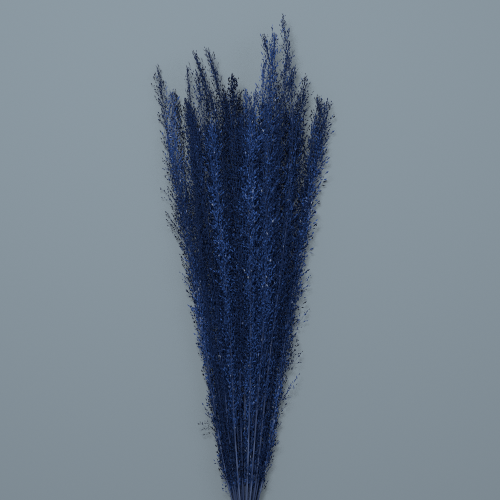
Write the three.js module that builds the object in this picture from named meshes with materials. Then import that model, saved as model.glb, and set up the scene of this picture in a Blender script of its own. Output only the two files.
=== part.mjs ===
// A bundle of dyed, dried grass lying on a table. Each stalk is one grown piece: a cut stem that runs
// up into a long, narrow panicle, given here as its closed outer shape. The stalks lie in rows, one row
// upon another, and a wound twine holds them together near their cut ends.
// Millimetres. +Y runs from the cut ends to the tips, +Z is up, and the table is at Z = 0.
import * as THREE from "three";

const { lerp, clamp } = THREE.MathUtils;

// Driving dimensions.
const bundleLength = 700; // cut ends to the farthest tip
const fanHalfWidth = 112; // how far the outermost stalks have spread at the height of the farthest tip
const fanCurve = 0.9; // the fan's sides are straight at 1, and bulge below it
const pileThickness = 62; // the panicles' pile above the table, at its thickest
const stemRadius = 1.45; // a stem at its cut end
const tipRadius = 0.7;
const panicleRadius = 8; // half the width of a full panicle
const clearance = 0.3; // air between neighbouring stalks, and between the twine and the stems
const trimUnevenness = 12; // the stems aren't cut quite level
const tieHeight = 80; // cut ends to the middle of the tie
const tieWidth = 9;
const tieThickness = 2; // of the twine, all the way round the stems
const shoulderRise = 17; // above the tie, where the stems have sprung apart
const shoulderSpread = 1.45; // the width of the stems at the shoulder, in widths at the tie
const shoulderLoft = 1.25; // and their thickness, in thicknesses at the tie
const cutSplay = 1.35; // the cut ends spread again below the tie, by this factor

// How the stalks are laid.
const rowCounts = [6, 8, 9, 9, 9, 7, 6, 4]; // stalks in each row, from the row on the table upwards
const crown = 0.5; // the pile is thinner at its edges than in its middle, by this share
const thickestShare = 0.6; // how far up from the shoulder the pile is thickest, as a share
const shortestReach = 0.8; // of the bundle's length
const longestReach = 0.88;
const lowestPanicle = 0.24; // where panicles start, as a share of the bundle's length
const highestPanicle = 0.36;
const swellShare = 0.3; // a panicle is at its full width by this share of its length
const narrowShare = 0.35; // and narrows to its tip over this one
const swayShare = 0.2; // a stalk wanders by this share of the space to its neighbour
const leanShare = 0.03; // a row leans to one side by this share of the fan
const bendStart = 0.76; // tips bend sideways from this share of the bundle's length

// The stalks whose tips stand out: their row, their place in it from the left, how far they reach as a
// share of the bundle's length, and how far to the right their tip is as a share of the fan's half width.
const leaders = [
  { row: 2, place: 0, reach: 0.909, aside: -0.97 },
  { row: 3, place: 0, reach: 0.866, aside: -0.81 },
  { row: 4, place: 0, reach: 0.79, aside: -0.87 },
  { row: 5, place: 0, reach: 0.911, aside: -0.64 },
  { row: 5, place: 1, reach: 0.896, aside: -0.52 },
  { row: 5, place: 2, reach: 0.941, aside: -0.42 },
  { row: 6, place: 0, reach: 0.847, aside: -0.65 },
  { row: 6, place: 1, reach: 0.934, aside: -0.56 },
  { row: 7, place: 1, reach: 0.89, aside: -0.13 },
  { row: 7, place: 2, reach: 0.864, aside: 0.12 },
  { row: 4, place: 4, reach: 0.867, aside: 0 },
  { row: 5, place: 4, reach: 0.917, aside: 0.21 },
  { row: 6, place: 4, reach: 0.964, aside: 0.2 },
  { row: 7, place: 3, reach: 0.963, aside: 0.33 },
  { row: 6, place: 5, reach: 1, aside: 0.41 },
  { row: 5, place: 5, reach: 0.93, aside: 0.47 },
  { row: 4, place: 6, reach: 0.91, aside: 0.55 },
  { row: 4, place: 7, reach: 0.893, aside: 0.67 },
  { row: 3, place: 8, reach: 0.86, aside: 0.81 },
  { row: 2, place: 8, reach: 0.8, aside: 0.87 },
];

const sides = 6; // corners of a stalk's section
const freeRings = 9; // sections from the shoulder to the height of the farthest tip
const tieCorners = 12; // corners of the twine's way round one stem

// Worked out from those.
const rows = rowCounts.length;
const stemPitch = 2 * stemRadius + clearance;
const halfPlaces = (Math.max(...rowCounts) - 1) / 2;
const tiedHalfWidth = halfPlaces * stemPitch;
const tiedThickness = rows * stemPitch;
const tieLow = tieHeight - tieWidth;
const tieHigh = tieHeight + tieWidth;
const shoulder = tieHigh + shoulderRise;
const lift = tieThickness + 2 * clearance; // the twine lies on the table, and the stems on the twine
const ringSpacing = (bundleLength - shoulder) / freeRings;

// Numbers from 0 to 1 that come out the same each time.
function seededRandom(seed) {
  let state = seed;
  return () => {
    state = (state * 1664525 + 1013904223) % 2 ** 32;
    return state / 2 ** 32;
  };
}

// A value that runs straight between [height, value] points.
function along(points, height) {
  const next = points.findIndex(([y]) => y >= height);
  if (next === 0) return points[0][1];
  if (next < 0) return points[points.length - 1][1];
  const [[y0, v0], [y1, v1]] = [points[next - 1], points[next]];
  return lerp(v0, v1, (height - y0) / (y1 - y0));
}

// 0 at the shoulder and below, 1 at the height of the farthest tip.
const freeShare = (y) => clamp((y - shoulder) / (bundleLength - shoulder), 0, 1);

// Half the width of the widest row, and the thickness of all rows together.
function halfWidthAt(y) {
  const spread = [[0, cutSplay], [tieLow, 1], [tieHigh, 1], [shoulder, shoulderSpread]];
  if (y < shoulder) return tiedHalfWidth * along(spread, y);
  return lerp(tiedHalfWidth * shoulderSpread, fanHalfWidth, freeShare(y) ** fanCurve);
}

function thicknessAt(y) {
  const loft = [[0, cutSplay], [tieLow, 1], [tieHigh, 1], [shoulder, shoulderLoft]];
  if (y < shoulder) return tiedThickness * along(loft, y);
  const swell = Math.sin((Math.PI / 2) * (freeShare(y) / thickestShare));
  return lerp(tiedThickness * shoulderLoft, pileThickness, swell);
}

// The height above the table of a level of the pile: 0 is its underside, 1 the top of the lowest row,
// and so on. Levels never cross, so that stalks of two rows never meet.
function levelHeight(level, x, y) {
  const drop = crown * Math.min(1, 2 * freeShare(y)) * (x / halfWidthAt(y)) ** 2;
  const clear = along([[shoulder, lift], [2 * shoulder, 0]], y);
  return clear + thicknessAt(y) * (level / rows) * (1 - drop);
}

// Where a stalk's axis is, across the bundle, before its tip bends.
function unbentX(stalk, y) {
  const free = freeShare(y);
  const spacing = halfWidthAt(y) / halfPlaces;
  const sway = swayShare * spacing * Math.min(1, 3 * free) * Math.sin(stalk.phase + 7 * free);
  const lean = leanShare * halfWidthAt(y) * free * Math.sin(2.4 * stalk.row);
  return stalk.fromMiddle * spacing + sway + lean;
}

function axisX(stalk, y) {
  const bendFrom = bendStart * bundleLength;
  if (y <= bendFrom) return unbentX(stalk, y);
  return unbentX(stalk, y) + stalk.bend * Math.min(1, (y - bendFrom) / (stalk.reach - bendFrom)) ** 2;
}

// Every stalk's own facts, row by row from the left.
function planStalks() {
  const random = seededRandom(7);
  return rowCounts.flatMap((count, row) =>
    Array.from({ length: count }, (_, place) => {
      const leader = leaders.find((l) => l.row === row && l.place === place);
      const share = lerp(shortestReach, longestReach, random());
      const stalk = {
        row,
        fromMiddle: place - (count - 1) / 2,
        reach: bundleLength * (leader ? leader.reach : share),
        cut: trimUnevenness * random(),
        panicleStart: bundleLength * lerp(lowestPanicle, highestPanicle, random()),
        phase: 2 * Math.PI * random(),
      };
      stalk.bend = leader ? leader.aside * fanHalfWidth - unbentX(stalk, stalk.reach) : 0;
      return stalk;
    }),
  );
}

// Half the room that a stalk has in its row, up to the stalks beside it.
function roomAcross(stalk, stalks, y) {
  const gaps = stalks
    .filter((other) => other !== stalk && other.row === stalk.row && other.reach > y - ringSpacing)
    .map((other) => Math.abs(axisX(other, y) - axisX(stalk, y)));
  return (Math.min(...gaps, fanHalfWidth) - clearance) / 2;
}

// The radius that a stalk would have with nothing beside it: the stem's, swelling to the panicle's.
function freeRadius(stalk, y) {
  const stem = lerp(stemRadius, tipRadius, y / stalk.reach);
  const share = clamp((y - stalk.panicleStart) / (stalk.reach - stalk.panicleStart), 0, 1);
  const fullness = Math.min(1, share / swellShare) * Math.min(1, (1 - share) / narrowShare);
  return lerp(stem, panicleRadius, fullness);
}

// A stalk's rings. All stalks have theirs at the same heights, so that neighbours stay apart between
// their rings too; only the first and the last ring of a stalk are at its own heights.
function stalkRings(stalk, stalks) {
  const fanHeights = Array.from({ length: freeRings }, (_, i) => shoulder + i * ringSpacing);
  const shared = [tieLow, tieHigh, ...fanHeights].filter((y) => y < stalk.reach - ringSpacing / 3);
  return [stalk.cut, ...shared, stalk.reach].map((y) => {
    const x = axisX(stalk, y);
    const radius = freeRadius(stalk, y);
    const rowThickness = levelHeight(stalk.row + 1, x, y) - levelHeight(stalk.row, x, y);
    return {
      x,
      y,
      halfWidth: Math.min(radius, roomAcross(stalk, stalks, y)),
      halfLevels: Math.min(radius, (rowThickness - clearance) / 2) / rowThickness,
    };
  });
}

// A stalk is a closed cylinder whose rings are moved to their own places and sizes.
function stalkGeometry(stalk, stalks) {
  const rings = stalkRings(stalk, stalks);
  const spans = rings.length - 1;
  const geometry = new THREE.CylinderGeometry(1, 1, spans, sides, spans);
  const position = geometry.getAttribute("position");
  for (let i = 0; i < position.count; i++) {
    const ring = rings[Math.round(position.getY(i) + spans / 2)];
    const x = ring.x + ring.halfWidth * position.getX(i);
    const level = stalk.row + 0.5 + ring.halfLevels * position.getZ(i);
    position.setXYZ(i, x, ring.y, levelHeight(level, x, ring.y));
  }
  geometry.computeVertexNormals();
  return geometry;
}

// The tightest loop round the tied stems at some distance from their axes, in order.
function loopRoundStems(stalks, distance) {
  const points = stalks.flatMap((stalk) => {
    const x = axisX(stalk, tieHeight);
    const z = levelHeight(stalk.row + 0.5, x, tieHeight);
    return Array.from({ length: tieCorners }, (_, i) => {
      const angle = (2 * Math.PI * i) / tieCorners;
      return new THREE.Vector2(x + distance * Math.cos(angle), z + distance * Math.sin(angle));
    });
  });
  points.sort((a, b) => a.x - b.x || a.y - b.y);
  return [...oneSide(points), ...oneSide(points.reverse())];
}

// One side of a tight loop, from the first of some sorted points to the last, which is left out.
function oneSide(points) {
  const slack = 1e-6;
  const turn = (o, a, b) => (a.x - o.x) * (b.y - o.y) - (a.y - o.y) * (b.x - o.x);
  const side = [];
  for (const point of points) {
    while (side.length > 1 && turn(side[side.length - 2], side[side.length - 1], point) < slack) side.pop();
    side.push(point);
  }
  return side.slice(0, -1);
}

function tieGeometry(stalks) {
  const band = new THREE.Shape(loopRoundStems(stalks, stemRadius + clearance + tieThickness));
  band.holes.push(new THREE.Path(loopRoundStems(stalks, stemRadius + clearance)));
  const geometry = new THREE.ExtrudeGeometry(band, { depth: tieWidth, bevelEnabled: false });
  geometry.rotateX(Math.PI / 2);
  geometry.translate(0, tieHeight + tieWidth / 2, 0);
  return geometry;
}

function makeMesh(name, geometry, look) {
  const mesh = new THREE.Mesh(geometry, new THREE.MeshStandardMaterial(look));
  mesh.name = name;
  return mesh;
}

const bundle = new THREE.Group();
bundle.name = "dried_grass_bundle";

const stalks = planStalks();
stalks.forEach((stalk, i) => {
  const name = `stalk_${String(i + 1).padStart(2, "0")}`;
  const look = { name: "dyed_grass", color: 0x1c2948, roughness: 0.85, metalness: 0 };
  bundle.add(makeMesh(name, stalkGeometry(stalk, stalks), look));
});
const twine = { name: "twine", color: 0x9c8460, roughness: 0.9, metalness: 0 };
bundle.add(makeMesh("tie", tieGeometry(stalks), twine));

// The middle of the underside of the whole bundle goes to the origin.
const box = new THREE.Box3().setFromObject(bundle);
const middle = box.getCenter(new THREE.Vector3());
for (const mesh of bundle.children) mesh.geometry.translate(-middle.x, -middle.y, -box.min.z);

export default bundle;
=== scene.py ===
"""A bundle of navy-dyed dried grass, tied with jute twine and lying on a frosted light table."""

import math
import random

import bmesh
import bpy
import numpy as np
from bpy.props import (
    FloatProperty,
    FloatVectorProperty,
    IntProperty,
    PointerProperty,
)
from bpy.types import Operator, Panel, PropertyGroup
from mathutils import Matrix, Vector
from mathutils.geometry import convex_hull_2d


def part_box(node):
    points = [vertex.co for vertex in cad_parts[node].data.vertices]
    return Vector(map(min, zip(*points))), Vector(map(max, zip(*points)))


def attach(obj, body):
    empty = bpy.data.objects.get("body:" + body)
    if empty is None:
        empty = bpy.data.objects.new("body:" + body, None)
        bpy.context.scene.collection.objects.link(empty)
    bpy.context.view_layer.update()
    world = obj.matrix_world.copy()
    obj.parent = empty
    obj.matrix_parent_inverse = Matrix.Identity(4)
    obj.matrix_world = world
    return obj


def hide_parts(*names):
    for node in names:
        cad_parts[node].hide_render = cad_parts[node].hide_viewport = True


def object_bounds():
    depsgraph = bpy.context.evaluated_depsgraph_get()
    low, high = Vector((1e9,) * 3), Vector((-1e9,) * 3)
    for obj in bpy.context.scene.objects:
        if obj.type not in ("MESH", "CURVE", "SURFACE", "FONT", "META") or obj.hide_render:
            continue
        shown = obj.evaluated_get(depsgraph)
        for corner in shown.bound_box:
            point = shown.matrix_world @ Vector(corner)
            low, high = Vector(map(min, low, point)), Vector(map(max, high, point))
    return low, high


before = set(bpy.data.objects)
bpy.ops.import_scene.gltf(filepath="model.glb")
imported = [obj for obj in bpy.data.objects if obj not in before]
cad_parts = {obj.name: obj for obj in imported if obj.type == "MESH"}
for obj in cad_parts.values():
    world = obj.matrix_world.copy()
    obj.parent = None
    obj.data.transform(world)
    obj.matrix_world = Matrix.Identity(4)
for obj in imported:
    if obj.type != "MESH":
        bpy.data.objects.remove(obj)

bl_info = {
    "name": "Dried grass bundle",
    "version": (1, 0, 0),
    "blender": (4, 5, 0),
    "location": "View3D > Sidebar > Dried grass",
    "description": "Dyed grass stalks with their panicles, a twine tie and a light table",
    "category": "Add Mesh",
}

CAD_BOX = [list(corner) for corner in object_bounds()]
STALKS = sorted(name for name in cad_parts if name.startswith("stalk"))
UV = "OFBake"
MM = 0.001

# Where each kind of surface lies on the colour map, from bottom to top: husks, branches, stems and pith.
HUSK_BAND = (0.02, 0.58)
BRANCH_BAND = (0.62, 0.76)
STEM_BAND = (0.8, 0.96)
PITH = 0.99
TONE_STEP = 0.02  # between the corners of a husk or tube, so that each face has some width on the map

FULL_TURN = 6.28  # in radians, nearly a whole turn, for random directions round a stalk
GOLDEN_ANGLE = 2.4  # in radians, from one side branch to the next, round what they grow from
LEFT, RIGHT = math.radians(90), math.radians(270)  # the sides of a stalk that lies along +Y

MIDDLE = 4 * MM  # across the bundle, the middle of its tied stems
EDGE = 45 * MM  # a stalk is at the bundle's edge when it lies this far from that middle
PANICLE_FOOT = 1.7 * MM  # a panicle starts where its solid's half width passes this
ABOVE_TIE = 97 * MM  # from the cut end, where a stem is clear of the tie and may grow sprigs
TIP_SPRIG = 9 * MM  # below a tip, where its last sprig may start
NEIGHBOUR = 8 * MM  # stalks nearer than this, across the bundle, can lie over a place
PAINTED_SHADE_DEPTH = 20 * MM  # this far down in the pile, a spray gets its full painted shade

# Stalks that differ from the rest: the shift of their tone, how wide their sprays stand and how dense they
# are. Their dark tones, like the tone waves along the stalks, are partly the dye's unevenness and partly
# painted shade for the dark gaps between plumes.
HABITS = {
    "stalk_56": (-0.42, 1.2, 1.8),
    "stalk_57": (0.16, 1.0, 1.1),
    "stalk_55": (0.15, 1.0, 1.1),
    "stalk_37": (0.25, 1.0, 1.1),
    "stalk_50": (-0.33, 0.8, 1.4),
    "stalk_44": (-0.28, 0.7, 1.4),
    "stalk_42": (-0.25, 0.5, 1.2),
    "stalk_43": (-0.05, 1.1, 0.9),
    "stalk_15": (-0.15, 0.9, 0.9),
    "stalk_54": (0.0, 0.8, 0.8),
    "stalk_47": (0.05, 0.9, 0.9),
    "stalk_53": (-0.1, 0.9, 1.1),
    "stalk_58": (0.1, 1.0, 1.1),
    "stalk_40": (-0.15, 1.0, 1.2),
    "stalk_39": (-0.05, 0.9, 1.1),
    "stalk_32": (-0.2, 1.1, 1.1),
}
USUAL_TONES = (-0.32, -0.2, 0.02, 0.14, 0.22)
STEADY_WAVE, USUAL_WAVE = 0.05, 0.16  # how much the tone changes along those stalks, and along the rest

# How many sprigs grow below a panicle: few on the stalks that lie on top in the middle, whose stems show.
TOP_ROWS = "stalk_49"  # the first stalk of the top two rows
TOP_HALF_WIDTH = 30 * MM
FEW_SPRIGS, MANY_SPRIGS = (4, 9, 16), (30, 38, 46)

# The share of the sprigs near a tip that stand off its stem, for the rest and where it differs.
USUAL_LOOSE_TIP = 0.4
LOOSE_TIPS = {"stalk_43": 0.8, "stalk_44": 0.1, "stalk_50": 0.1, "stalk_42": 0.05, "stalk_15": 0.6}

# Sprays that stray far from the bundle: how high above the cut end they start, to which side, their lean
# and their scale.
WISPS = {
    "stalk_23": [(300 * MM, RIGHT, 0.5, 0.9), (345 * MM, RIGHT, 0.45, 0.8)],
    "stalk_32": [(255 * MM, RIGHT, 0.5, 0.8), (270 * MM, RIGHT, 0.3, 0.8)],
    "stalk_14": [(320 * MM, RIGHT, 0.4, 0.8)],
    "stalk_41": [(215 * MM, RIGHT, 0.4, 0.8)],
    "stalk_15": [(178 * MM, LEFT, 0.8, 0.45), (420 * MM, LEFT, 0.3, 0.8)],
}


def linear(code):
    """An sRGB hex colour as linear red, green, blue and alpha."""
    parts = [int(code[i : i + 2], 16) / 255 for i in (1, 3, 5)]
    return [c / 12.92 if c <= 0.04045 else ((c + 0.055) / 1.055) ** 2.4 for c in parts] + [1.0]


def size(name, description, default, unit="LENGTH"):
    """A size that a user can change; lengths are in metres."""
    return FloatProperty(name=name, description=description, default=default, min=0.0, precision=4, unit=unit)


def colour(name, description, code):
    """A colour that a user can change, given as an sRGB hex colour."""
    return FloatVectorProperty(
        name=name, description=description, default=linear(code), size=4, min=0.0, max=1.0, subtype="COLOR"
    )


# ---------------------------------------------------------------- settings


class GrassSettings(PropertyGroup):
    husk_length: size("Husk length", "One spikelet from its base to its point", 4.2 * MM)
    husk_width: size("Husk width", "One spikelet at its widest", 1.9 * MM)
    pedicel: size("Pedicel length", "The hair-thin stalk of one spikelet", 2.6 * MM)
    spray_length: size("Spray length", "A full side branch with all its spikelets", 50 * MM)
    sprig_length: size("Sprig length", "A small side branch, near a tip or low on the stem", 20 * MM)
    whorl_spacing: size("Whorl spacing", "Between the joints that full side branches grow from", 15 * MM)
    sprig_spacing: size("Sprig spacing", "Between the joints near a tip", 3.2 * MM)
    sprays_a_whorl: IntProperty(
        name="Sprays a whorl", description="Side branches at a joint", default=2, min=1
    )
    kinds: IntProperty(
        name="Kinds", description="Different sprays and sprigs that are grown", default=12, min=1
    )
    seed: IntProperty(name="Seed", description="Start of the random numbers", default=11)
    # The deep colour is also painted shade: on sprays deep in the pile and at the bottom of the stems' hollow
    # cut ends.
    deep_dye_and_painted_shade: colour("Deep dye", "Where the dye is thickest", "#090e1c")
    navy: colour("Navy dye", "The dye on most spikelets", "#1b2b4e")
    bright: colour("Bright dye", "The dye on thin, dry spikelets", "#385c9e")
    pale: colour("Pale dye", "Where the dye has taken least", "#8896ad")
    stem: colour("Dyed stem", "The dye on the smooth stems", "#65769a")
    pith: colour("Pith", "The cut ends' undyed inside", "#8d8a78")


class TwineSettings(PropertyGroup):
    thickness: size("Thickness", "Of the twine, over its plies", 2.0 * MM)
    turns: FloatProperty(name="Turns", description="Round the stems", default=4.4, min=1.0)
    ply_pitch: size("Ply pitch", "Twine length for one twist of its plies", 7 * MM)
    fibres: IntProperty(name="Loose fibres", description="Short fibres that stand off the twine", default=420)
    straw: colour("Jute", "The plies' colour", "#a08a64")
    shade: colour("Jute in the grooves", "Darker fibres and dust between the plies", "#5d4a30")


class StageSettings(PropertyGroup):
    tabletop: colour("Tabletop", "Pale frosted acrylic", "#7a858b")
    view_width: size("View width", "Width of the view at the bundle", 0.62)
    view_height: size("Camera height", "Above the tabletop", 2.2)


# ---------------------------------------------------------------- materials


def add_node(tree, kind, inputs=None, **settings):
    """Adds a node, sets its settings, and fills its inputs with values or with links from other sockets."""
    node = tree.nodes.new(kind)
    for key, value in settings.items():
        setattr(node, key, value)
    for key, value in (inputs or {}).items():
        if isinstance(value, bpy.types.NodeSocket):
            tree.links.new(value, node.inputs[key])
        else:
            node.inputs[key].default_value = value
    return node


def set_ramp(node, stops):
    """Gives a Color Ramp node its stops, as (place, colour) pairs in order."""
    elements = node.color_ramp.elements
    while len(elements) < len(stops):
        elements.new(0.5)
    for element, (place, value) in zip(elements, stops):
        element.position = place
        element.color = value
    return node.outputs["Color"]


def new_material(name):
    material = bpy.data.materials.new(name)
    material.use_nodes = True
    return material, material.node_tree, material.node_tree.nodes["Principled BSDF"]


def dyed_grass(settings):
    """Air-dried grass, dip-dyed navy: chaffy and matt on the husks, where the dye dries unevenly and leaves
    their points paler, and smooth with a low straw gloss and fine lengthwise ribs on the stems."""
    material, tree, shader = new_material("air_dried_grass_dip_dyed")
    coords = add_node(tree, "ShaderNodeUVMap", uv_map=UV).outputs["UV"]
    split = add_node(tree, "ShaderNodeSeparateXYZ", {"Vector": coords})
    tone, place = split.outputs["X"], split.outputs["Y"]

    # The dye's blotches, a husk or two across.
    blotch = add_node(tree, "ShaderNodeMapping", {"Vector": coords, "Scale": (90.0, 9.0, 1.0)})
    blotch = add_node(
        tree,
        "ShaderNodeTexNoise",
        {"Vector": blotch.outputs["Vector"], "Scale": 1.0, "Detail": 2.0},
    )
    spread = add_node(
        tree,
        "ShaderNodeMapRange",
        {"Value": blotch.outputs["Fac"], "To Min": -0.1, "To Max": 0.1},
    )
    uneven = add_node(tree, "ShaderNodeMath", {0: tone, 1: spread.outputs["Result"]}, operation="ADD")
    ramp = add_node(tree, "ShaderNodeValToRGB", {"Fac": uneven.outputs["Value"]})
    stops = [(0.08, settings.deep_dye_and_painted_shade), (0.5, settings.navy), (0.85, settings.bright), (0.98, settings.pale)]
    husk = set_ramp(ramp, stops)

    # Husks pale towards their points.
    low, high = HUSK_BAND
    tip = add_node(
        tree,
        "ShaderNodeMapRange",
        {"Value": place, "From Min": low + 0.5 * (high - low), "From Max": high, "To Max": 0.45},
    )
    husk = add_node(
        tree,
        "ShaderNodeMix",
        {"Factor": tip.outputs["Result"], "A": husk, "B": settings.bright},
        data_type="RGBA",
    ).outputs["Result"]

    # Stems have their own, greyer dye, palest near their cut ends, with darker streaks between their ribs.
    ribs = add_node(tree, "ShaderNodeMapping", {"Vector": coords, "Scale": (5.0, 60.0, 1.0)})
    ribs = add_node(
        tree,
        "ShaderNodeTexNoise",
        {"Vector": ribs.outputs["Vector"], "Scale": 1.0, "Detail": 1.0},
    )
    streak = add_node(
        tree,
        "ShaderNodeMapRange",
        {"Value": ribs.outputs["Fac"], "From Min": 0.35, "From Max": 0.65},
    )
    stem = set_ramp(
        add_node(tree, "ShaderNodeValToRGB", {"Fac": tone}), [(0.1, settings.navy), (0.9, settings.stem)]
    )
    stem = add_node(
        tree,
        "ShaderNodeMix",
        {"Factor": streak.outputs["Result"], "A": stem, "B": settings.navy},
        data_type="RGBA",
    ).outputs["Result"]
    is_stem = add_node(
        tree,
        "ShaderNodeMath",
        {0: place, 1: (BRANCH_BAND[1] + STEM_BAND[0]) / 2},
        operation="GREATER_THAN",
    ).outputs["Value"]
    skin = add_node(tree, "ShaderNodeMix", {"Factor": is_stem, "A": husk, "B": stem}, data_type="RGBA")
    is_pith = add_node(
        tree,
        "ShaderNodeMath",
        {0: place, 1: (STEM_BAND[1] + PITH) / 2},
        operation="GREATER_THAN",
    ).outputs["Value"]
    # The cut ends: pale pith, and near the deep colour at the bottom of their hollows, painted shade.
    pith = set_ramp(
        add_node(tree, "ShaderNodeValToRGB", {"Fac": tone}), [(0.2, settings.deep_dye_and_painted_shade), (0.8, settings.pith)]
    )
    base = add_node(
        tree,
        "ShaderNodeMix",
        {"Factor": is_pith, "A": skin.outputs["Result"], "B": pith},
        data_type="RGBA",
    )
    tree.links.new(base.outputs["Result"], shader.inputs["Base Color"])

    rough = add_node(tree, "ShaderNodeMapRange", {"Value": is_stem, "To Min": 0.78, "To Max": 0.5})
    tree.links.new(rough.outputs["Result"], shader.inputs["Roughness"])
    bump = add_node(
        tree,
        "ShaderNodeBump",
        {"Height": ribs.outputs["Fac"], "Strength": 0.25, "Distance": 0.1 * MM},
    )
    tree.links.new(bump.outputs["Normal"], shader.inputs["Normal"])
    shader.inputs["IOR"].default_value = 1.45
    shader.inputs["Specular IOR Level"].default_value = 0.08
    return material


def jute(settings):
    """Jute twine, spun from soft plant fibre: dull, hairy and pale tan, darker in the grooves between its
    plies."""
    material, tree, shader = new_material("jute_twine_spun")
    coords = add_node(tree, "ShaderNodeUVMap", uv_map=UV).outputs["UV"]
    # Fibres run along the ply, each about a tenth of a millimetre wide and drawn a little coarser.
    fibres = add_node(tree, "ShaderNodeMapping", {"Vector": coords, "Scale": (160.0, 26.0, 1.0)})
    fibres = add_node(
        tree,
        "ShaderNodeTexNoise",
        {"Vector": fibres.outputs["Vector"], "Scale": 1.0, "Detail": 3.0},
    )
    ramp = add_node(tree, "ShaderNodeValToRGB", {"Fac": fibres.outputs["Fac"]})
    base = set_ramp(ramp, [(0.3, settings.shade), (0.62, settings.straw)])
    tree.links.new(base, shader.inputs["Base Color"])
    bump = add_node(
        tree,
        "ShaderNodeBump",
        {"Height": fibres.outputs["Fac"], "Strength": 0.6, "Distance": 0.2 * MM},
    )
    tree.links.new(bump.outputs["Normal"], shader.inputs["Normal"])
    shader.inputs["Roughness"].default_value = 0.9
    shader.inputs["Sheen Weight"].default_value = 0.15
    return material


def light_table(settings):
    """A frosted acrylic light table, turned low: dull, pale grey-blue, with a little light of its own that
    softens the shadows on it."""
    material, tree, shader = new_material("acrylic_frosted_light_table")
    coords = add_node(tree, "ShaderNodeTexCoord").outputs["Object"]
    grain = add_node(tree, "ShaderNodeTexNoise", {"Vector": coords, "Scale": 900.0, "Detail": 2.0})
    bump = add_node(
        tree,
        "ShaderNodeBump",
        {"Height": grain.outputs["Fac"], "Strength": 0.05, "Distance": 0.1 * MM},
    )
    tree.links.new(bump.outputs["Normal"], shader.inputs["Normal"])
    shader.inputs["Base Color"].default_value = settings.tabletop
    shader.inputs["Emission Color"].default_value = settings.tabletop
    shader.inputs["Emission Strength"].default_value = 0.28
    shader.inputs["Roughness"].default_value = 0.9
    shader.inputs["Specular IOR Level"].default_value = 0.1
    return material


# ---------------------------------------------------------------- growing


class Growth:
    """A mesh that grows piece by piece. Each vertex carries its place on the colour map: its tone, and its
    place along the husk, branch or stem that it belongs to."""

    def __init__(self):
        self.bm = bmesh.new()
        self.tone = self.bm.verts.layers.float.new("tone")
        self.along = self.bm.verts.layers.float.new("along")

    def stamp(self, mesh, matrix):
        """Adds a copy of a mesh in its place, and returns the copy's vertices."""
        count = len(self.bm.verts)
        self.bm.from_mesh(mesh)
        self.bm.verts.ensure_lookup_table()
        added = self.bm.verts[count:]
        bmesh.ops.transform(self.bm, matrix=matrix, verts=added)
        return added

    def tube(self, points, radii, sides, tone, band):
        """Adds a closed tube along a line of points: a ring, extruded to each point and closed at both
        ends."""
        ring = bmesh.ops.create_circle(self.bm, segments=sides, radius=1.0)["verts"]
        edges = list({edge for vert in ring for edge in vert.link_edges})
        rings, faces = [ring], bmesh.ops.contextual_create(self.bm, geom=edges)["faces"]
        for _ in points[1:]:
            grown = bmesh.ops.extrude_edge_only(self.bm, edges=edges)["geom"]
            rings.append([item for item in grown if isinstance(item, bmesh.types.BMVert)])
            edges = [item for item in grown if isinstance(item, bmesh.types.BMEdge)]
            faces += [item for item in grown if isinstance(item, bmesh.types.BMFace)]
        faces += bmesh.ops.contextual_create(self.bm, geom=edges)["faces"]
        turn = direction(points, 0).to_track_quat("Z", "Y").to_matrix()
        for i, ring in enumerate(rings):
            turn = turn.col[2].rotation_difference(direction(points, i)).to_matrix() @ turn
            for j, vert in enumerate(ring):
                vert.co = points[i] + turn @ (vert.co * radii[i])
                vert[self.tone] = tone + TONE_STEP * (j % 2)
                vert[self.along] = mix(*band, i / (len(rings) - 1))
        bmesh.ops.recalc_face_normals(self.bm, faces=faces)
        for face in faces:
            face.smooth = True
        return rings

    def to_mesh(self, name):
        mesh = bpy.data.meshes.new(name)
        self.bm.to_mesh(mesh)
        self.bm.free()
        return mesh


def mix(a, b, share):
    return a + (b - a) * share


def direction(points, i):
    """The direction of a line of points at one of them."""
    return (points[min(i + 1, len(points) - 1)] - points[max(i - 1, 0)]).normalized()


def leaning(ahead, lean, azimuth):
    """A direction that leans away from another by an angle, to some side of it."""
    side = Vector((1, 0, 0)) if abs(ahead.x) < 0.9 else Vector((0, 1, 0))
    out = ahead.cross(side).normalized()
    out.rotate(Matrix.Rotation(azimuth, 3, ahead))
    return ahead * math.cos(lean) + out * math.sin(lean)


def grow_husk(settings, pedicel):
    """One spikelet: a flattened, keeled husk along +Z with its base at the origin, on a hair-thin pedicel."""
    growth = Growth()
    bm = growth.bm
    length, half = settings.husk_length, settings.husk_width / 2
    widest, flatness = 0.42, 0.7
    husk = bmesh.ops.create_uvsphere(bm, u_segments=4, v_segments=2, radius=1.0)["verts"]
    for vert in husk:
        share = {-1: 0.0, 0: widest, 1: 1.0}[round(vert.co.z)]
        vert[growth.tone] = TONE_STEP * round(vert.co.x)
        vert[growth.along] = mix(*HUSK_BAND, share)
        vert.co = (vert.co.x * half, vert.co.y * half * flatness, share * length)
    if pedicel:
        overlap = 0.1 * length
        hair = bmesh.ops.create_cone(
            bm,
            cap_ends=True,
            segments=3,
            radius1=0.1 * MM,
            radius2=0.0,
            depth=pedicel + overlap,
            matrix=Matrix.Translation((0, 0, (overlap - pedicel) / 2)),
        )["verts"]
        for vert in hair:
            vert[growth.tone] = TONE_STEP * (1 if vert.co.x > 0 else -1)
            vert[growth.along] = BRANCH_BAND[1 if vert.co.z > 0 else 0]
    return growth.to_mesh("husk")


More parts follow.
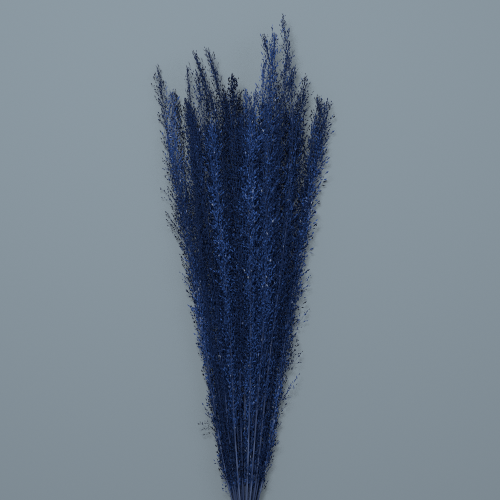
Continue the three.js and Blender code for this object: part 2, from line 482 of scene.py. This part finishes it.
def grow_spray(settings, length, twigs, openness, husks, rng):
    """A side branch with its twigs and spikelets. It starts at the origin and runs along +Y, beside the stem
    that it grows from, and stands off that stem towards +Z."""
    growth = Growth()
    length *= rng.uniform(0.75, 1.15)
    stand_off = 0.1 * settings.spray_length * openness
    drift = rng.uniform(-0.1, 0.1) * length
    steps = 6 if twigs > 5 else 4

    def branch(t):
        return Vector((drift * t * t, length * t, stand_off * (1 - math.exp(-3.5 * t))))

    points = [branch(i / (steps - 1)) for i in range(steps)]
    radii = [mix(0.22, 0.08, i / (steps - 1)) * MM for i in range(steps)]
    growth.tube(points, radii, 3, 0.3, BRANCH_BAND)
    for k in range(twigs):
        t = mix(0.08, 0.97, (k + rng.uniform(0, 0.8)) / twigs)
        ahead = (branch(t + 0.02) - branch(t - 0.02)).normalized()
        lean = openness * math.radians(rng.uniform(18, 46))
        away = leaning(ahead, lean, GOLDEN_ANGLE * k + rng.uniform(-0.6, 0.6))
        twig_length = length * mix(2.2, 1.0, t) / twigs * rng.uniform(0.75, 1.25)
        start = branch(t)

        def twig(s):
            return start + twig_length * (away * s + ahead * 0.2 * s * s)

        growth.tube([twig(i / 2) for i in range(3)], [0.09 * MM, 0.08 * MM, 0.05 * MM], 3, 0.3, BRANCH_BAND)
        count = max(2, round(twig_length / (2.9 * MM)))
        for n in range(count):
            last = n == count - 1
            s = mix(0.1, 1.0, (n + 1) / count)
            along_twig = (twig(s) - twig(s - 0.1)).normalized()
            lean = openness * math.radians(rng.uniform(0, 15) if last else rng.uniform(10, 55))
            heading = leaning(along_twig, lean, rng.uniform(0, 2 * math.pi))
            stalked = rng.random() < 0.5
            base = twig(s) + heading * (settings.pedicel * rng.uniform(0.6, 1.0) if stalked else 0.1 * MM)
            turn = heading.to_track_quat("Z", "Y").to_matrix().to_4x4()
            roll = Matrix.Rotation(rng.uniform(0, math.pi), 4, "Z")
            scale = Matrix.Scale(rng.uniform(0.72, 1.15), 4)
            tone = rng.gauss(0.5, 0.09) + (0.35 if rng.random() < 0.04 else 0.0)
            for vert in growth.stamp(husks[stalked], Matrix.Translation(base) @ turn @ roll @ scale):
                vert[growth.tone] += tone
    return growth.to_mesh("spray")


class StalkAxis:
    """The line that a stalk's solid follows, and the solid's half width, from the cut end to the tip."""

    def __init__(self, node):
        corners = np.array([vert.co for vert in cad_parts[node].data.vertices])
        rings = []
        for y in np.unique(corners[:, 1].round(5)):
            ring = corners[np.abs(corners[:, 1] - y) < 0.02 * MM]
            low, high = ring.min(0), ring.max(0)
            rings.append([*(low + high) / 2, (high[0] - low[0]) / 2, (high[2] - low[2]) / 2])
        rings = np.array(rings)
        self.cut, self.tip = rings[0, 1], rings[-1, 1]
        self.y = np.linspace(self.cut, self.tip, 160)
        self.values = np.stack([np.interp(self.y, rings[:, 1], rings[:, k]) for k in (0, 2, 3, 4)], 1)
        for _ in range(8):  # rounds off the corners between the solid's straight lengths
            self.values[1:-1] = (self.values[:-2] + 2 * self.values[1:-1] + self.values[2:]) / 4
        self.panicle = self.y[self.values[:, 2] > PANICLE_FOOT][0]

    def at(self, y):
        x, z = (float(np.interp(y, self.y, self.values[:, k])) for k in (0, 1))
        return Vector((x, y, z))

    def half_width(self, y):
        return float(np.interp(y, self.y, self.values[:, 2]))

    def ahead(self, y):
        step = 4 * MM
        return (self.at(y + step) - self.at(y - step)).normalized()


def grow_stem(growth, axis, rng):
    """The stem: hollow at its cut end, swollen at its joints and wrapped in a sheath above each joint."""
    joints = [axis.cut + rng.uniform(30, 60) * MM]
    phase = rng.uniform(0, FULL_TURN)
    while joints[-1] < axis.tip:
        joints.append(joints[-1] + rng.uniform(120, 170) * MM)
    heights = [axis.cut]
    step, last_step = 11 * MM, 15 * MM
    while heights[-1] < axis.tip - last_step:
        heights.append(heights[-1] + step)
    swell, sheath_length = 2.2 * MM, 70 * MM
    thick, thin = 1.38, 0.18  # the stem's radius at its cut end and its tip, in millimetres
    for joint in joints:
        heights = [y for y in heights if abs(y - joint) > 2 * swell]
        heights += [joint + k * swell for k in (-1, -0.4, 0, 0.4, 1) if joint + swell < axis.tip]
    heights = sorted(heights) + [axis.tip]
    radii = []
    for y in heights:
        share = (y - axis.cut) / (axis.tip - axis.cut)
        sheath = any(0 <= y - joint < sheath_length for joint in joints)
        bulge = sum(math.exp(-(((y - joint) / (0.5 * swell)) ** 2)) for joint in joints)
        radii.append(mix(thick, thin, share**0.7) * (1.08 if sheath else 1.0) * (1 + 0.25 * bulge) * MM)
    rings = growth.tube([axis.at(y) for y in heights], radii, 8, 0.5, STEM_BAND)
    for y, ring in zip(heights, rings):
        dark = sum(math.exp(-(((y - joint) / swell) ** 2)) for joint in joints)
        share = max(0.0, (y - axis.cut) / (axis.panicle - axis.cut) - 0.6)
        tone = 0.75 - 0.5 * min(1.0, share) - 0.3 * dark + 0.12 * math.sin(y * 90 + phase)
        for j, vert in enumerate(ring):
            vert[growth.tone] = tone
            vert[growth.along] = mix(*STEM_BAND, abs(2 * j / len(ring) - 1))
    hollow_end(growth, rings[0])


def hollow_end(growth, ring):
    """Opens the cut end of a stem into a shallow hollow: a pale rim of pith, and a bottom painted dark as
    painted shade.
    """
    bm = growth.bm
    cap = next(face for face in ring[0].link_faces if len(face.verts) == len(ring))
    # The first inset is the pale pith; the second, sunk 1.5 mm, takes a tone near the deep colour: painted
    # shade in the hollow.
    for thickness, depth, tone in ((0.32 * MM, 0.0, 0.9), (0.05 * MM, -1.5 * MM, 0.05)):
        before = set(bm.verts)
        bmesh.ops.inset_individual(bm, faces=[cap], thickness=thickness, depth=depth)
        for i, vert in enumerate(vert for vert in bm.verts if vert not in before):
            vert[growth.tone] = tone + TONE_STEP * (i % 2)
            vert[growth.along] = PITH


def depth_in_pile(place, axes):
    """How far below the stalks that lie on top there a place is, within the bundle."""
    near = [axis.at(place.y) for axis in axes.values() if axis.tip > place.y]
    above = [other.z for other in near if abs(other.x - place.x) < NEIGHBOUR]
    return max(above, default=place.z) - place.z


def grow_stalk(node, settings, axes, sprays, sprigs, tight_sprigs, habit, rng):
    """A whole stalk on its solid's line: the stem, and sprays in whorls from the panicle's foot to its tip.
    Sprays that lie under other stalks are painted darker: painted shade inside the bundle."""
    axis = axes[node]
    growth = Growth()
    grow_stem(growth, axis, rng)
    stamps = []

    phase = rng.uniform(0, FULL_TURN)
    azimuth = rng.uniform(0, FULL_TURN)

    def add_spray(kinds, y, azimuth, scale, spread, lean=0.0):
        ahead = axis.ahead(y + 10 * MM)
        out = leaning(ahead, math.pi / 2 + lean, azimuth)
        ahead = leaning(ahead, lean, azimuth)
        turn = Matrix((ahead.cross(out), ahead, out)).transposed()
        shape = turn.to_4x4() @ Matrix.Diagonal((spread, scale, spread, 1))
        added = growth.stamp(rng.choice(kinds), Matrix.Translation(axis.at(y)) @ shape)
        streak = habit["wave"] * math.sin(phase + y / (40 * MM))
        # Painted shade: the deeper a spray lies under other stalks, the darker its husks are painted.
        depth = depth_in_pile(axis.at(y + 20 * MM), axes)
        painted_shade = min(1.0, max(0.0, depth) / PAINTED_SHADE_DEPTH)
        shift = streak - 0.3 * painted_shade + rng.uniform(-0.08, 0.08)
        stamps.append((len(growth.bm.verts) - len(added), shift))

    y = axis.panicle
    while y < axis.tip - settings.spray_length:
        spread = habit["spread"] * mix(0.7, 1.05, min(1.0, axis.half_width(y + 12 * MM) / (7 * MM)))
        for k in range(settings.sprays_a_whorl):
            side = azimuth + 2 * math.pi * k / settings.sprays_a_whorl
            add_spray(sprays, y, side, rng.uniform(0.85, 1.1), spread * rng.uniform(0.8, 1.2))
        azimuth += GOLDEN_ANGLE
        y += settings.whorl_spacing / habit["fullness"] * rng.uniform(0.75, 1.25)
    while y < axis.tip - TIP_SPRIG:  # near the tip, sprigs hug the stem and only some stand off it
        left = (axis.tip - y) / settings.spray_length
        scale = min(1.0, left * settings.spray_length / settings.sprig_length) * rng.uniform(0.7, 1.0)
        kinds = sprigs if rng.random() < habit["loose_tip"] else tight_sprigs
        add_spray(kinds, y, azimuth, scale, habit["spread"] * mix(0.45, 1.0, left))
        azimuth += GOLDEN_ANGLE
        y += settings.sprig_spacing / habit["fullness"] * mix(1.6, 0.8, left) * rng.uniform(0.6, 1.4)

    for _ in range(3):  # a few sprays lie across the others
        y = mix(axis.panicle, axis.tip - settings.spray_length, rng.random())
        add_spray(sprays, y, rng.uniform(0, FULL_TURN), rng.uniform(0.6, 0.9), 0.8, rng.uniform(0.2, 0.5))
    for _ in range(habit["low"]):  # sprigs below the panicle
        y = mix(axis.cut + ABOVE_TIE, axis.panicle, rng.random())
        kinds = rng.choice((sprigs, tight_sprigs))
        add_spray(kinds, y, rng.uniform(0, FULL_TURN), rng.uniform(0.8, 1.2), rng.uniform(0.7, 1.0))
    middle = axis.at(0)
    outward = LEFT if middle.x < 0 else RIGHT
    if abs(middle.x - MIDDLE) > EDGE:  # at the bundle's edges, some sprigs stray outwards
        for _ in range(4):
            y = mix(axis.cut + 110 * MM, axis.tip - 80 * MM, rng.random())
            add_spray(sprigs, y, outward + rng.uniform(-0.7, 0.7), 1.0, 0.8, rng.uniform(0.0, 0.35))
    for height, side, lean, scale in WISPS.get(node, ()):
        add_spray(sprays, axis.cut + height, side, scale, 0.9, lean)

    mesh = growth.to_mesh(node + "_grass")
    settle(mesh)
    colour_map(mesh, stamps, habit["tone"])
    return mesh


def settle(mesh):
    """Lets a piece lie: the tabletop presses up what would reach into it, and what stands high off the pile
    sags. Both end softly, within a few millimetres."""
    co = np.empty(len(mesh.vertices) * 3, np.float32)
    mesh.vertices.foreach_get("co", co)
    z = co.reshape(-1, 3)[:, 2]
    depth, sag = 4 * MM, 9 * MM
    top = CAD_BOX[1][2] - 3 * MM
    low, high = z < depth, z > top
    z[low] = depth * np.exp((z[low] - depth) / depth)
    z[high] = top + sag * (1 - np.exp((top - z[high]) / sag))
    mesh.vertices.foreach_set("co", co)


def colour_map(mesh, stamps, stalk_tone):
    """Lays each vertex's tone and place out as the mesh's colour map. The spray that a husk belongs to and
    the stalk shift its tone."""
    tone, along = (np.empty(len(mesh.vertices), np.float32) for _ in range(2))
    mesh.attributes["tone"].data.foreach_get("value", tone)
    mesh.attributes["along"].data.foreach_get("value", along)
    if stamps:
        starts = np.array([start for start, _ in stamps])
        shifts = np.array([0.0] + [shift for _, shift in stamps])
        group = np.searchsorted(starts, np.arange(len(tone)), side="right")
        tone = np.where(group > 0, tone + shifts[group], tone)
    corners = np.empty(len(mesh.loops), np.int32)
    mesh.loops.foreach_get("vertex_index", corners)
    layer = mesh.uv_layers.new(name=UV)
    places = np.stack([np.clip(tone + stalk_tone, 0.01, 0.99)[corners], along[corners]], 1)
    layer.data.foreach_set("uv", places.astype(np.float32).ravel())
    mesh.attributes.remove(mesh.attributes["tone"])
    mesh.attributes.remove(mesh.attributes["along"])


def add_piece(name, mesh, material, slot, *nodes):
    """Shows a finished mesh as a piece of the bundle, in place of the solids that it stands for."""
    mesh.materials.append(material)
    piece = bpy.data.objects.new(name, mesh)
    bpy.context.scene.collection.objects.link(piece)
    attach(piece, "root")
    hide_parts(*nodes)


# ---------------------------------------------------------------- operators


class OBJECT_OT_grass_stalks(Operator):
    """Grow every grass stalk on the line of its solid"""

    bl_idname = "object.dried_grass_stalks"
    bl_label = "Grow stalks"

    def execute(self, context):
        settings = context.scene.dried_grass
        rng = random.Random(settings.seed)
        material = dyed_grass(settings)
        husks = [grow_husk(settings, 0.0), grow_husk(settings, settings.pedicel)]
        forms = (  # length, twigs and openness of the sprays, the sprigs and the tight sprigs
            (settings.spray_length, 8, 1.0),
            (settings.sprig_length, 4, 1.0),
            (settings.sprig_length, 4, 0.4),
        )
        kinds = [[grow_spray(settings, *form, husks, rng) for _ in range(settings.kinds)] for form in forms]
        axes = {node: StalkAxis(node) for node in STALKS}
        for node in STALKS:
            usual_tone = rng.choice(USUAL_TONES) + rng.uniform(-0.05, 0.05)
            usual = (usual_tone, rng.uniform(0.85, 1.15), rng.uniform(0.9, 1.1))
            tone, spread, fullness = HABITS.get(node, usual)
            top_middle = node >= TOP_ROWS and abs(axes[node].at(0).x - MIDDLE) < TOP_HALF_WIDTH
            low = rng.choice(FEW_SPRIGS if top_middle else MANY_SPRIGS)
            habit = {
                "tone": tone,
                "spread": spread,
                "fullness": fullness,
                "low": low,
                "wave": STEADY_WAVE if node in HABITS else USUAL_WAVE,
                "loose_tip": LOOSE_TIPS.get(node, USUAL_LOOSE_TIP),
            }
            mesh = grow_stalk(node, settings, axes, *kinds, habit, rng)
            add_piece(node + "_grass", mesh, material, "dyed_grass", node)
        for mesh in husks + sum(kinds, []):
            bpy.data.meshes.remove(mesh)
        return {"FINISHED"}


def stems_at(y):
    """Where the stems' middles are at a height, across the bundle and above the table."""
    return [Vector((place.x, place.z)) for place in (StalkAxis(node).at(y) for node in STALKS)]


def way_round(points, distance, count):
    """The closed way of a tight thread round some points at a distance, as evenly spaced places, and its
    length."""
    angles = np.linspace(0, 2 * math.pi, 24, endpoint=False)
    around = [Vector((math.cos(a), math.sin(a))) * distance for a in angles]
    cloud = [point + step for point in points for step in around]
    corners = np.array([cloud[i] for i in convex_hull_2d(cloud)])
    corners = np.vstack([corners, corners[:1]])
    run = np.concatenate([[0], np.cumsum(np.linalg.norm(np.diff(corners, axis=0), axis=1))])
    even = np.linspace(0, run[-1], count, endpoint=False)
    return np.stack([np.interp(even, run, corners[:, k]) for k in (0, 1)], 1), run[-1]


class OBJECT_OT_twine_tie(Operator):
    """Wind the twine round the stems where its solid is"""

    bl_idname = "object.twine_tie"
    bl_label = "Wind twine"

    def execute(self, context):
        settings = context.scene.twine
        rng = random.Random(3)
        low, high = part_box("tie")
        radius = settings.thickness / 2
        stem_radius, stations = 1.5 * MM, 96
        loop, perimeter = way_round(stems_at((low.y + high.y) / 2), stem_radius + radius, stations)
        centre = loop.mean(0)
        pitch = 1.02 * settings.thickness
        first = (low.y + high.y) / 2 - pitch * settings.turns / 2
        length = settings.turns * perimeter
        tuck, tuck_depth = 7 * MM, 1.6  # the twine's ends dip in between the stems; depth in millimetres

        def lay(run):
            """The twine's middle at a length along it, and the way out from the stems there."""
            place = (run / perimeter * stations) % stations
            i, part = int(place), place % 1
            x, z = mix(loop[i], loop[(i + 1) % stations], part)
            out = Vector((x - centre[0], 0, z - centre[1])).normalized()
            ends = max(0.0, 1 - run / tuck) + max(0.0, 1 - (length - run) / tuck)
            return Vector((x, first + pitch * run / perimeter, z)) - out * tuck_depth * MM * ends, out

        growth = Growth()
        plies, step = 3, 0.9 * MM
        winding_radius, ply_radius = 0.48 * radius, 0.53 * radius
        runs = np.arange(0, length, step)
        for ply in range(plies):
            points = []
            for run in runs:
                middle, out = lay(run)
                angle = 2 * math.pi * (run / settings.ply_pitch + ply / plies)
                around = out * math.cos(angle) + Vector((0, math.sin(angle), 0))
                points.append(middle + winding_radius * around)
            rings = growth.tube(points, [ply_radius] * len(points), 8, 0.0, (0.0, 1.0))
            for i, ring in enumerate(rings):
                for j, vert in enumerate(ring):
                    vert[growth.tone] = 0.05 + 0.9 * abs(2 * j / len(ring) - 1)
                    vert[growth.along] = (i % 64) / 64 if (i // 64) % 2 == 0 else 1 - (i % 64) / 64
        for _ in range(settings.fibres):
            middle, out = lay(rng.uniform(tuck, length - tuck))
            lean = Vector((rng.uniform(-1, 1), rng.uniform(-1, 1), rng.uniform(-1, 1)))
            reach = rng.uniform(0.8, 2.6) * MM
            start = middle + out * radius * 0.7 + lean * 0.3 * MM
            ahead = (out * 0.8 + lean).normalized()
            bend = lean.cross(out) * rng.uniform(-0.5, 0.5)
            points = [start + reach * (ahead * s + bend * s * s) for s in (0, 0.35, 0.7, 1)]
            growth.tube(points, [0.05 * MM] * 4, 3, rng.uniform(0.1, 0.9), (0.1, 0.9))
        mesh = growth.to_mesh("twine_tie")
        settle(mesh)
        colour_map(mesh, [], 0.0)
        add_piece("twine_tie", mesh, jute(settings), "twine", "tie")
        return {"FINISHED"}


class SCENE_OT_tabletop_stage(Operator):
    """Set up the light table, the soft lights and the camera that looks down on the bundle"""

    bl_idname = "scene.tabletop_stage"
    bl_label = "Set the stage"

    def execute(self, context):
        settings = context.scene.stage
        scene = context.scene
        bm = bmesh.new()
        bmesh.ops.create_grid(bm, x_segments=1, y_segments=1, size=4.0)
        mesh = bpy.data.meshes.new("tabletop")
        bm.to_mesh(mesh)
        bm.free()
        mesh.materials.append(light_table(settings))
        tabletop = bpy.data.objects.new("tabletop", mesh)
        scene.collection.objects.link(tabletop)

        for name, place, width, power in (
            ("softbox_over", (-0.2, 0.55, 1.4), 0.4, 16.5),
            ("softbox_right", (0.9, 0.5, 1.2), 0.6, 3.0),
        ):
            light = bpy.data.lights.new(name, "AREA")
            light.size = width
            light.energy = power
            lamp = bpy.data.objects.new(name, light)
            lamp.location = place
            lamp.rotation_euler = (-Vector(place)).to_track_quat("-Z", "Y").to_euler()
            lamp.visible_camera = False
            scene.collection.objects.link(lamp)

        world = bpy.data.worlds.new("soft_room")
        world.use_nodes = True
        world.node_tree.nodes["Background"].inputs["Color"].default_value = linear("#d6e2f2")
        world.node_tree.nodes["Background"].inputs["Strength"].default_value = 0.3
        scene.world = world
        scene.view_settings.view_transform = "Standard"
        scene.cycles.use_denoising = False  # it would smear the spikelets into each other
        scene.cycles.filter_width = 1.0  # and so would a wider filter

        data = bpy.data.cameras.new("camera")
        camera = bpy.data.objects.new("camera", data)
        low, high = (Vector(corner) for corner in CAD_BOX)
        middle = (low.z + high.z) / 2
        data.lens = data.sensor_width * (settings.view_height - middle) / settings.view_width
        aside, below = 10 * MM, 100 * MM
        camera.location = (aside, low.y + below + settings.view_width / 2, settings.view_height)
        scene.collection.objects.link(camera)
        scene.camera = camera
        return {"FINISHED"}


class VIEW3D_PT_dried_grass(Panel):
    """Lists the bundle's pieces and their sizes"""

    bl_idname = "VIEW3D_PT_dried_grass"
    bl_label = "Dried grass bundle"
    bl_space_type = "VIEW_3D"
    bl_region_type = "UI"
    bl_category = "Dried grass"

    def draw(self, context):
        for name, operator in (
            ("dried_grass", OBJECT_OT_grass_stalks),
            ("twine", OBJECT_OT_twine_tie),
            ("stage", SCENE_OT_tabletop_stage),
        ):
            box = self.layout.box()
            box.operator(operator.bl_idname)
            settings = getattr(context.scene, name)
            for field in settings.__annotations__:
                box.prop(settings, field)


CLASSES = (
    GrassSettings,
    TwineSettings,
    StageSettings,
    OBJECT_OT_grass_stalks,
    OBJECT_OT_twine_tie,
    SCENE_OT_tabletop_stage,
    VIEW3D_PT_dried_grass,
)


def register():
    for cls in CLASSES:
        bpy.utils.register_class(cls)
    bpy.types.Scene.dried_grass = PointerProperty(type=GrassSettings)
    bpy.types.Scene.twine = PointerProperty(type=TwineSettings)
    bpy.types.Scene.stage = PointerProperty(type=StageSettings)


def unregister():
    for name in ("dried_grass", "twine", "stage"):
        delattr(bpy.types.Scene, name)
    for cls in reversed(CLASSES):
        bpy.utils.unregister_class(cls)


def main():
    register()
    bpy.ops.scene.tabletop_stage()
    bpy.ops.object.dried_grass_stalks()
    bpy.ops.object.twine_tie()


if __name__ == "__main__":
    main()
